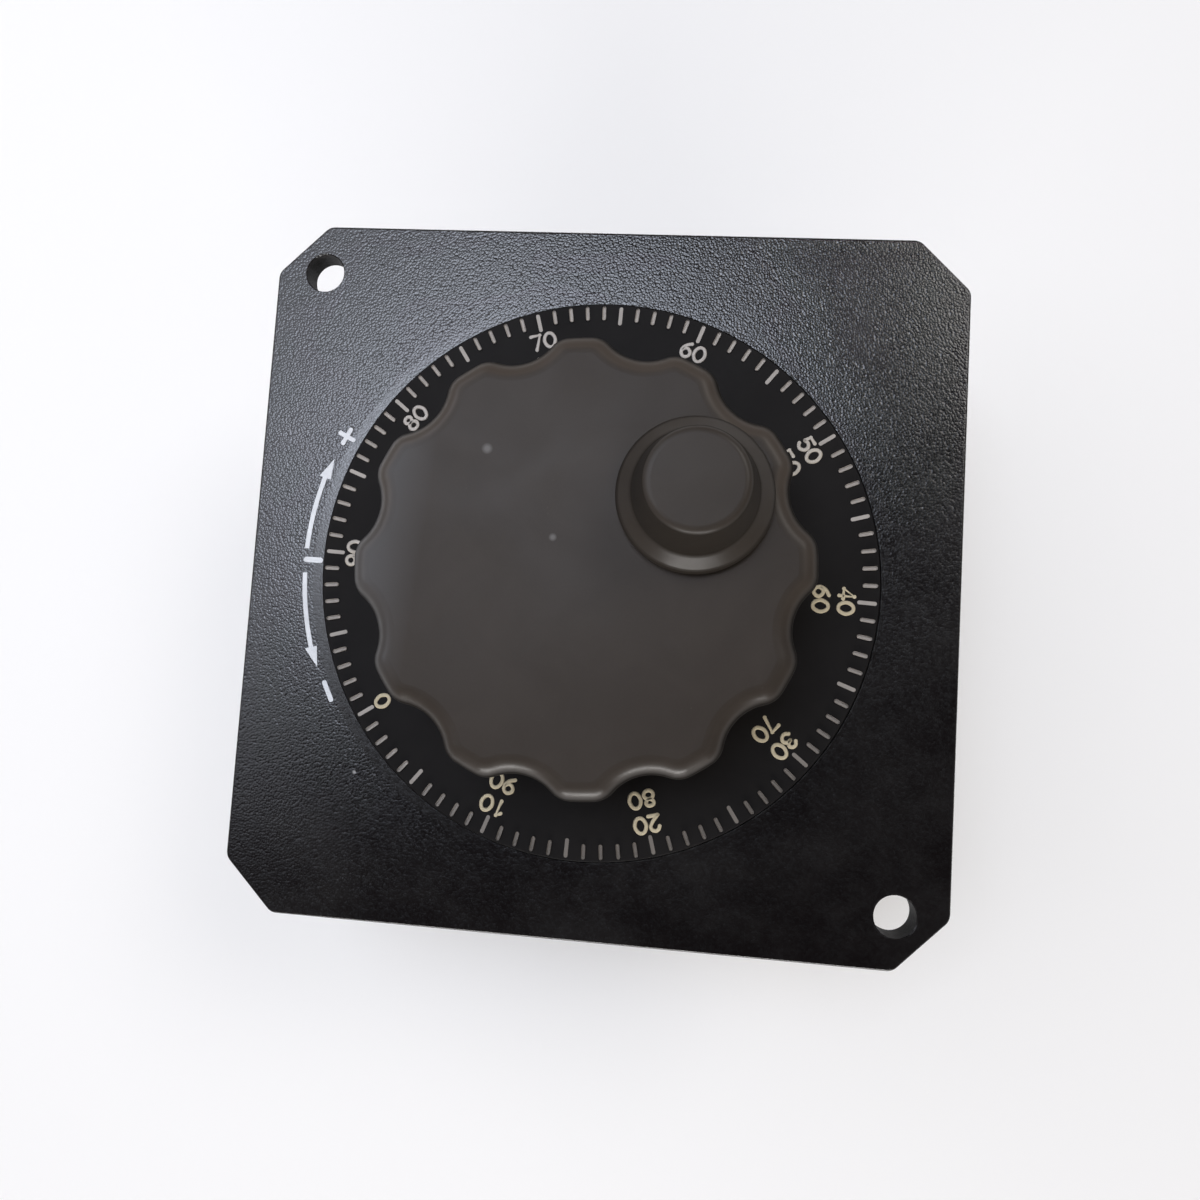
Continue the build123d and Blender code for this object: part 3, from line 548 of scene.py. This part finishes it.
def ink_finish(name, clean, soiled, edge_colour, painted_light_tint=None, tint_start=0.0, tint_end=1.0):
    """Filled or printed ink, a little uneven and soiled, with a painted light tint towards the lower right."""
    edge_share = 0.25
    plain_roughness, skin_roughness = 0.5, 0.15
    skin_depth = 0.008 * mm
    material, tree, shader = new_material(name, Specular_IOR_Level=0.3)
    skin = group_in(tree, "skin", Grains_per_metre=3800.0).outputs
    patches = group_in(tree, "patches", Patches_per_metre=420.0).outputs["Amount"]
    colour = blend(tree, patches, clean, soiled)
    colour = blend_share(tree, skin["Tone"], edge_share, colour, edge_colour)
    if painted_light_tint:
        x, y, _ = axes_of(tree, here(tree))
        lower_right = plus_share(tree, product(tree, y, -1.0), x, 0.3)
        # Painted light: a tint towards the lower right, shade on the marks and warm light on the numbers
        colour = blend(tree, spread(tree, lower_right, tint_start, tint_end), colour, painted_light_tint)
    rough = plus_share(tree, plain_roughness, skin["Tone"], skin_roughness)
    dress(tree, shader, colour, rough, skin["Height"], skin_depth)
    return material


def board_finish():
    """Green lacquered circuit board with the woven glass showing faintly."""
    weave_sizes = {"Scale": 900.0, "Mortar Size": 0.12, "Row Height": 0.5, "Brick Width": 0.5}
    weave_tones = {"Color1": 1.0, "Color2": 0.8, "Mortar": 0.5}
    lacquer, thick_lacquer = (0.006, 0.06, 0.025), (0.012, 0.11, 0.045)
    patch_colour, patch_share = (0.008, 0.075, 0.03), 0.4
    plain_roughness, patch_roughness = 0.3, 0.1
    weave_depth = -0.01 * mm
    material, tree, shader = new_material("green_board", Specular_IOR_Level=0.5)
    weave = add(tree, "ShaderNodeTexBrick", weave_sizes)
    for label, tone in weave_tones.items():
        weave.inputs[label].default_value = (tone, tone, tone, 1.0)
    tree.links.new(here(tree), weave.inputs["Vector"])
    patches = group_in(tree, "patches", Patches_per_metre=120.0).outputs["Amount"]
    colour = blend(tree, weave.outputs["Color"], lacquer, thick_lacquer)
    colour = blend_share(tree, patches, patch_share, colour, patch_colour)
    rough = plus_share(tree, plain_roughness, patches, patch_roughness)
    dress(tree, shader, colour, rough, weave.outputs["Fac"], weave_depth)
    return material


finishes = {
    "front_plate": powder_coat_finish(),
    "dial_disc": moulded_finish(
        "black_dial", (0.0065, 0.0055, 0.0052), (0.0088, 0.0075, 0.007), 0.6,
        grain=6000.0, depth=0.003, edge=0.2, dusty=0.02, specular=0.1),
    # The wheel: painted shade on its sides, painted highlights on its upper rims and left lobes
    "handwheel": moulded_finish(
        "wheel_moulding", (0.031, 0.024, 0.0185), (0.037, 0.029, 0.0225), 0.42,
        grain=4200.0, edge=0.15, dusty=0.03, specular=0.15, rim=0.5, left_sheen=True,
        specks=(((-9.11 * mm, 9.99 * mm, wheel_top), 0.55 * mm),
                ((-2.58 * mm, 2.23 * mm, wheel_top), 0.4 * mm))),
    # The knob: painted shade on its sides
    "crank_knob": moulded_finish(
        "knob_moulding", (0.03, 0.0235, 0.018), (0.036, 0.0285, 0.022), 0.42,
        grain=4600.0, depth=0.005, edge=0.15, dusty=0.02, specular=0.15, coat_roughness=0.38,
        rim=1.4, side_shade=0.4),
    "housing": moulded_finish(
        "housing_moulding", (0.013, 0.013, 0.014), (0.022, 0.022, 0.023), 0.52, grain=3600.0, depth=0.012),
    "cover": moulded_finish(
        "cover_moulding", (0.016, 0.016, 0.017), (0.026, 0.026, 0.027), 0.48, grain=4200.0, depth=0.01),
    "terminal": moulded_finish(
        "terminal_moulding", (0.018, 0.018, 0.019), (0.03, 0.03, 0.031), 0.4, edge=0.35),
    "washer": moulded_finish(
        "washer_nylon", (0.03, 0.03, 0.03), (0.05, 0.05, 0.05), 0.45,
        grain=6000.0, depth=0.004, edge=0.2, dusty=0.02),
    "rubber": moulded_finish(
        "seal_rubber", (0.012, 0.012, 0.012), (0.02, 0.02, 0.02), 0.75,
        grain=3000.0, depth=0.02, edge=0.1, dusty=0.15),
    "chip": moulded_finish(
        "chip_resin", (0.016, 0.016, 0.017), (0.028, 0.028, 0.03), 0.6, grain=7000.0),
    "cage": moulded_finish(
        "cage_nylon", (0.55, 0.5, 0.4), (0.66, 0.61, 0.5), 0.45, grain=5000.0, edge=0.1, dusty=0.02),
    "magnet": moulded_finish(
        "magnet_ferrite", (0.03, 0.03, 0.032), (0.055, 0.055, 0.058), 0.62,
        grain=2600.0, depth=0.02, edge=0.4, dusty=0.03),
    "code": metal_finish(
        "code_sheet", (0.34, 0.34, 0.35), (0.46, 0.46, 0.47), 0.32, rings=5000.0, depth=0.002),
    "steel": metal_finish("turned_steel", (0.5, 0.49, 0.48), (0.66, 0.65, 0.63), 0.28),
    "knob_steel": metal_finish(
        "turned_pin_steel", (0.5, 0.49, 0.48), (0.66, 0.65, 0.63), 0.28, centre=knob_axis),
    "screw": metal_finish(
        "plated_screw_steel", (0.56, 0.57, 0.58), (0.7, 0.71, 0.72), 0.3,
        rings=14000.0, depth=0.003, tarnish=0.25),
    "bearing": metal_finish(
        "ground_bearing_steel", (0.58, 0.58, 0.58), (0.74, 0.74, 0.74), 0.14,
        rings=20000.0, depth=0.001, tarnish=0.08),
    "brass": metal_finish("turned_brass", (0.66, 0.48, 0.22), (0.82, 0.63, 0.33), 0.26),
    "knob_brass": metal_finish(
        "turned_bush_brass", (0.66, 0.48, 0.22), (0.82, 0.63, 0.33), 0.26, centre=knob_axis),
    "detent": metal_finish(
        "cut_detent_steel", (0.42, 0.42, 0.42), (0.55, 0.55, 0.55), 0.36, rings=6000.0, depth=0.006),
    "aluminium": metal_finish("turned_aluminium", (0.68, 0.69, 0.7), (0.82, 0.83, 0.84), 0.3),
    "terminal_metal": metal_finish(
        "plated_terminal_metal", (0.6, 0.57, 0.5), (0.76, 0.72, 0.64), 0.34, rings=7000.0, tarnish=0.3),
    "board": board_finish(),
    # Painted shade: the marks darken towards the lower right
    "mark_ink": ink_finish(
        "dial_mark_ink", (0.42, 0.38, 0.34), (0.35, 0.315, 0.28), (0.3, 0.27, 0.24),
        painted_light_tint=(0.16, 0.14, 0.12), tint_start=14 * mm, tint_end=27 * mm),
    # Painted warm light: the numbers turn yellower towards the lower right
    "number_ink": ink_finish(
        "dial_number_ink", (0.5, 0.46, 0.42), (0.42, 0.38, 0.34), (0.36, 0.32, 0.28),
        painted_light_tint=(0.54, 0.46, 0.31), tint_start=-12 * mm, tint_end=6 * mm),
    "plate_ink": ink_finish("plate_print_ink", (0.76, 0.77, 0.78), (0.66, 0.67, 0.68), (0.6, 0.6, 0.6)),
}
nodes_of_finish = {
    "front_plate": ["front_plate"],
    "dial_disc": ["dial_disc"],
    "handwheel": ["handwheel"],
    "crank_knob": ["crank_knob"],
    "housing": ["housing_body"],
    "cover": ["rear_cover"],
    "terminal": ["terminal_block"],
    "washer": ["knob_washer"],
    "rubber": ["shaft_seal", "cover_seal"],
    "chip": ["light_barrier", "line_driver"],
    "cage": ["front_cage", "rear_cage"],
    "magnet": ["detent_magnet"],
    "code": ["code_disc"],
    "steel": ["grub_screws", "shaft", "retaining_ring", "bearing_spacer"],
    "knob_steel": ["knob_pin", "knob_clip"],
    "screw": ["plate_screws", "dial_screws", "detent_screws", "board_screws", "rear_cover_screws"],
    "bearing": ["front_inner_race", "front_outer_race", "front_balls",
                "rear_inner_race", "rear_outer_race", "rear_balls"],
    "brass": ["hub_sleeve"],
    "knob_brass": ["knob_bush"],
    "detent": ["detent_rotor", "detent_poles"],
    "aluminium": ["code_disc_hub", "capacitors"],
    "terminal_metal": ["terminal_plates", "terminal_screws"],
    "board": ["circuit_board"],
}
for finish, names in nodes_of_finish.items():
    for name in names:
        mesh = nodes[name].data
        mesh.materials.clear()
        mesh.materials.append(finishes[finish])


# Marks and numbers on the dial

def capsule(length, width):
    """A thin bar of ink along Y with round ends, standing on its face."""
    size = (width, length, ink_height)
    bpy.ops.mesh.primitive_cube_add(size=1, location=(0, 0, ink_height / 2), scale=size)
    bar = settle(bpy.context.active_object)
    bpy.ops.object.mode_set(mode="EDIT")
    bpy.ops.mesh.select_all(action="DESELECT")
    bpy.ops.object.mode_set(mode="OBJECT")
    for edge in bar.data.edges:
        a, b = (bar.data.vertices[i].co for i in edge.vertices)
        edge.select = abs(a.z - b.z) > ink_height / 2
    bpy.ops.object.mode_set(mode="EDIT")
    bpy.ops.mesh.select_mode(type="EDGE")
    bpy.ops.mesh.bevel(offset=width * bar_corner_share, segments=bar_corner_steps, affect="EDGES")
    bpy.ops.object.mode_set(mode="OBJECT")
    return bar


def dial_marks():
    """The marks round the rim, with every fifth one longer."""
    marks = []
    short = capsule(mark_outer - mark_inner, mark_width)
    long = capsule(mark_outer - long_mark_inner, mark_width)
    for step in range(mark_count):
        inner = mark_inner if step % marks_to_long_one else long_mark_inner
        place = at_mark((mark_outer + inner) / 2, zero_mark_angle + mark_step * step, dial_top)
        marks.append(copy_of(short if step % marks_to_long_one else long, place))
    bpy.data.objects.remove(short)
    bpy.data.objects.remove(long)
    return join("dial_marks", marks)


# Each figure is a few pen strokes in a box one high. A stroke runs smooth or straight between its points, and
# is closed to a loop or open.
figures = {
    "0": [("round", True, [(0, 1), (0.31, 0.76), (0.31, 0.24), (0, 0), (-0.31, 0.24), (-0.31, 0.76)])],
    "1": [("straight", False, [(-0.2, 0.76), (0.06, 1), (0.06, 0)])],
    "2": [("round", False, [(-0.3, 0.74), (-0.16, 0.96), (0.14, 0.97), (0.29, 0.74), (0.14, 0.44), (-0.32, 0)]),
          ("straight", False, [(-0.32, 0), (0.32, 0)])],
    "3": [("round", False, [(-0.28, 0.84), (-0.04, 1), (0.26, 0.8), (0.1, 0.57), (-0.08, 0.54)]),
          ("round", False, [(-0.08, 0.54), (0.16, 0.5), (0.31, 0.27), (0.1, 0.01), (-0.14, 0.02),
                            (-0.31, 0.19)])],
    "4": [("straight", False, [(0.14, 0), (0.14, 1), (-0.34, 0.28), (0.34, 0.28)])],
    "5": [("straight", False, [(0.27, 1), (-0.22, 1), (-0.27, 0.56)]),
          ("round", False, [(-0.27, 0.56), (0.04, 0.64), (0.31, 0.36), (0.1, 0.02), (-0.15, 0.02),
                            (-0.31, 0.17)])],
    "6": [("round", False, [(0.2, 1), (-0.14, 0.76), (-0.31, 0.36), (-0.12, 0.03), (0.13, 0.03), (0.31, 0.3),
                            (0.12, 0.58), (-0.13, 0.57), (-0.31, 0.36)])],
    "7": [("straight", False, [(-0.31, 1), (0.31, 1), (-0.08, 0)])],
    "8": [("round", True, [(0, 1), (0.24, 0.87), (0.2, 0.65), (0, 0.55), (-0.2, 0.65), (-0.24, 0.87)]),
          ("round", True, [(0, 0.55), (0.25, 0.43), (0.29, 0.17), (0, 0), (-0.29, 0.17), (-0.25, 0.43)])],
    "9": [("round", False, [(-0.2, 0), (0.14, 0.24), (0.31, 0.64), (0.12, 0.97), (-0.13, 0.97), (-0.31, 0.7),
                            (-0.12, 0.42), (0.13, 0.43), (0.31, 0.64)])],
}


def stroke(points, shape, closed, width):
    """One pen stroke as a bead of ink with round ends and corners."""
    bpy.ops.curve.primitive_bezier_curve_add(location=(0, 0, 0))
    curve = bpy.context.active_object.data
    curve.splines.clear()
    spline = curve.splines.new("BEZIER")
    spline.bezier_points.add(len(points) - 1)
    spline.use_cyclic_u = closed
    spline.resolution_u = pen_bend_steps
    for point, (x, y) in zip(spline.bezier_points, points):
        point.handle_left_type = point.handle_right_type = "AUTO" if shape == "round" else "VECTOR"
        point.co = (x, y, 0)
    curve.bevel_depth = width / 2
    curve.bevel_resolution = pen_edge_steps
    bpy.ops.object.convert(target="MESH")
    beads = [bpy.context.active_object]
    dots = [] if closed else (points if shape == "straight" else [points[0], points[-1]])
    for x, y in dots:
        bpy.ops.mesh.primitive_uv_sphere_add(
            segments=dot_segments, ring_count=dot_rings, radius=width / 2, location=(x, y, 0))
        beads.append(settle(bpy.context.active_object))
    return join("stroke", beads)


def figure(character):
    """A figure of the dial, flattened to the height of the ink."""
    width = number_stroke / number_height
    strokes = [stroke(points, shape, closed, width) for shape, closed, points in figures[character]]
    piece = join("figure", strokes)
    flat = 2 * ink_height / number_stroke
    piece.data.transform(Matrix.Diagonal((number_height, number_height, number_height * flat, 1)))
    return piece


def dial_numbers():
    """Two rings of numbers that run opposite ways, with every tenth mark numbered."""
    drawn = {character: figure(character) for character in figures}
    placed = []

    def write(text, radius, angle):
        for order, character in enumerate(text):
            shift = (order - (len(text) - 1) / 2) * number_pitch
            middle = at_mark(radius - number_height / 2, angle, dial_top)
            placed.append(copy_of(drawn[character], middle @ Matrix.Translation((shift, 0, 0))))

    for number in range(0, mark_count, marks_to_number):
        angle = zero_mark_angle + mark_step * number
        write(str(number), outer_number_radius, angle)
        if number:
            write(str(mark_count - number), inner_number_radius, angle)
    for piece in drawn.values():
        bpy.data.objects.remove(piece)
    return join("dial_numbers", placed)


# Print on the plate

def arc_arrow(start, tip):
    """A curved arrow on the plate, from one angle to another."""
    turn = 1 if tip > start else -1
    line_end = tip - turn * arrow_head * arrow_head_overlap
    bpy.ops.mesh.primitive_grid_add(x_subdivisions=1, y_subdivisions=arrow_line_steps, size=1)
    line = bpy.context.active_object
    for vertex in line.data.vertices:
        along = vertex.co.y + 0.5
        angle = radians(start + (line_end - start) * along)
        radius = arrow_radius + vertex.co.x * arrow_stroke
        vertex.co = (radius * cos(angle), radius * sin(angle), 0)
    bpy.ops.mesh.primitive_circle_add(vertices=3, radius=1, fill_type="NGON")
    head = bpy.context.active_object
    base, nose = radians(tip - turn * arrow_head), radians(tip)
    corners = [(arrow_radius + arrow_half_width, base), (arrow_radius - arrow_half_width, base),
               (arrow_radius - arrow_nose_shift, nose)]
    for vertex, (radius, angle) in zip(head.data.vertices, corners):
        vertex.co = (radius * cos(angle), radius * sin(angle), 0)
    arrow = join("arrow", [line, head])
    arrow.modifiers.new("thickness", "SOLIDIFY").thickness = ink_height
    apply_modifiers(arrow)
    bpy.ops.object.mode_set(mode="EDIT")
    bpy.ops.mesh.select_all(action="SELECT")
    bpy.ops.mesh.normals_make_consistent(inside=False)
    bpy.ops.object.mode_set(mode="OBJECT")
    low = min(vertex.co.z for vertex in arrow.data.vertices)
    arrow.data.transform(Matrix.Translation((0, 0, plate_top - low)))
    return arrow


def plate_print():
    """The index line, two arrows and the plus and minus signs left of the dial."""
    quarter_turn = Matrix.Rotation(pi / 2, 4, "Z")
    length, width, radius, angle = index_line
    index = capsule(length, width)
    index.data.transform(at_mark(radius, angle, plate_top))

    length, width, radius, angle = plus_sign
    plus = capsule(length, width)
    crossing = copy_of(plus, quarter_turn)
    union = plus.modifiers.new("crossing", "BOOLEAN")
    union.operation = "UNION"
    union.object = crossing
    apply_modifiers(plus)
    bpy.data.objects.remove(crossing)
    plus.data.transform(at_mark(radius, angle, plate_top))

    length, width, radius, angle = minus_sign
    minus = capsule(length, width)
    minus.data.transform(quarter_turn)
    minus.data.transform(at_mark(radius, angle, plate_top))
    return join("plate_print", [index, plus, minus, arc_arrow(*upper_arrow), arc_arrow(*lower_arrow)])


marks = dial_marks()
numbers = dial_numbers()
print_on_plate = plate_print()
for piece, body, ink, slot in (
    (marks, "rotor", "mark_ink", "dial_black"),
    (numbers, "rotor", "number_ink", "dial_black"),
    (print_on_plate, "housing", "plate_ink", "plate_paint"),
):
    piece.data.materials.clear()
    piece.data.materials.append(finishes[ink])
    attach(piece, body)


# Floor, light and camera

def floor_finish():
    """Pale floor that glows white to the camera, less so near the object, and keeps its shadow."""
    floor_colour = (0.76, 0.74, 0.715, 1)
    near, far = 0.2, 0.9
    near_glow, far_glow = 0.18, 0.95
    material = bpy.data.materials.new("pale_floor")
    material.use_nodes = True
    tree = material.node_tree
    tree.nodes.clear()
    matt = add(tree, "ShaderNodeBsdfDiffuse", {"Color": floor_colour, "Roughness": 0.0})
    glow = add(tree, "ShaderNodeEmission", {"Color": (1, 1, 1, 1)})
    path = add(tree, "ShaderNodeLightPath").outputs
    seen = sums(tree, "MAXIMUM", path["Is Camera Ray"], path["Is Glossy Ray"])
    seen = sums(tree, "MAXIMUM", seen, path["Is Transmission Ray"])
    away = add(tree, "ShaderNodeVectorMath", operation="LENGTH")
    tree.links.new(here(tree), away.inputs[0])
    level = spread(tree, away.outputs["Value"], near, far, near_glow, far_glow)
    tree.links.new(product(tree, seen, level), glow.inputs["Strength"])
    both = add(tree, "ShaderNodeAddShader")
    tree.links.new(matt.outputs[0], both.inputs[0])
    tree.links.new(glow.outputs[0], both.inputs[1])
    tree.links.new(both.outputs[0], add(tree, "ShaderNodeOutputMaterial").inputs["Surface"])
    return material


floor_size = 3.0
floor_gap = 0.05 * mm
bpy.ops.object.select_all(action="DESELECT")
bpy.ops.mesh.primitive_plane_add(size=floor_size, location=(0, 0, cad_low.z - floor_gap))
floor = settle(bpy.context.active_object)
floor.name = "pale_floor"
floor.data.materials.append(floor_finish())

# Each light's name, place, the point it faces, its size, its power in watts and its colour
plate_middle, knob_middle = (0, 0, 0), (0, 0, 0.015)
lights = [
    ("window_light", (-0.092, 0.124, 0.55), plate_middle, (0.29, 0.195), 1.64, (0.8, 0.865, 1.0)),
    ("ceiling_light", (0.37, 0.32, 0.55), plate_middle, (0.34, 0.26), 1.55, (1.0, 0.97, 0.94)),
    ("left_light", (-0.212, 0.099, 0.26), knob_middle, (0.36, 0.28), 0.55, (0.86, 0.9, 1.0)),
    ("low_light", (0.03, -0.60, 0.14), knob_middle, (0.50, 0.10), 2.8, (1.0, 0.98, 0.96)),
]
for name, place, target, size, power, colour in lights:
    light = bpy.data.lights.new(name, "AREA")
    light.shape = "RECTANGLE"
    light.size, light.size_y = size
    light.energy = power
    light.color = colour
    lamp = bpy.data.objects.new(name, light)
    lamp.location = place
    lamp.rotation_euler = (Vector(target) - Vector(place)).to_track_quat("-Z", "Y").to_euler()
    bpy.context.collection.objects.link(lamp)


def plain_sky():
    """A dim sky, darkest overhead, that the camera sees as white."""
    overhead, lower = 0.95, 0.6
    overhead_strength, lower_strength = 0.035, 0.15
    world = bpy.data.worlds.new("plain_sky")
    world.use_nodes = True
    tree = world.node_tree
    tree.nodes.clear()
    up = axes_of(tree, add(tree, "ShaderNodeTexCoord").outputs["Generated"])[2]
    dim = add(tree, "ShaderNodeBackground", {"Color": (1, 0.93, 0.93, 1)})
    tree.links.new(spread(tree, up, overhead, lower, overhead_strength, lower_strength), dim.inputs["Strength"])
    white = add(tree, "ShaderNodeBackground", {"Color": (1, 1, 1, 1), "Strength": 1.0})
    choose = add(tree, "ShaderNodeMixShader")
    tree.links.new(add(tree, "ShaderNodeLightPath").outputs["Is Camera Ray"], choose.inputs[0])
    tree.links.new(dim.outputs[0], choose.inputs[1])
    tree.links.new(white.outputs[0], choose.inputs[2])
    tree.links.new(choose.outputs[0], add(tree, "ShaderNodeOutputWorld").inputs["Surface"])
    return world


bpy.context.scene.world = plain_sky()

camera_data = bpy.data.cameras.new("photo_camera")
camera_data.lens = 27.2603
camera_data.sensor_width = 36.0
camera_data.shift_x = 0.011587
camera_data.shift_y = -0.023869
camera_data.clip_start = 0.01
camera_data.clip_end = 10.0
camera = bpy.data.objects.new("photo_camera", camera_data)
camera.location = (0.0081184, -0.0066113, 0.0997406)
camera.rotation_euler = (0.07951, 0.08838, 0.06439)
bpy.context.collection.objects.link(camera)
bpy.context.scene.camera = camera
bpy.context.scene.view_settings.view_transform = "Standard"
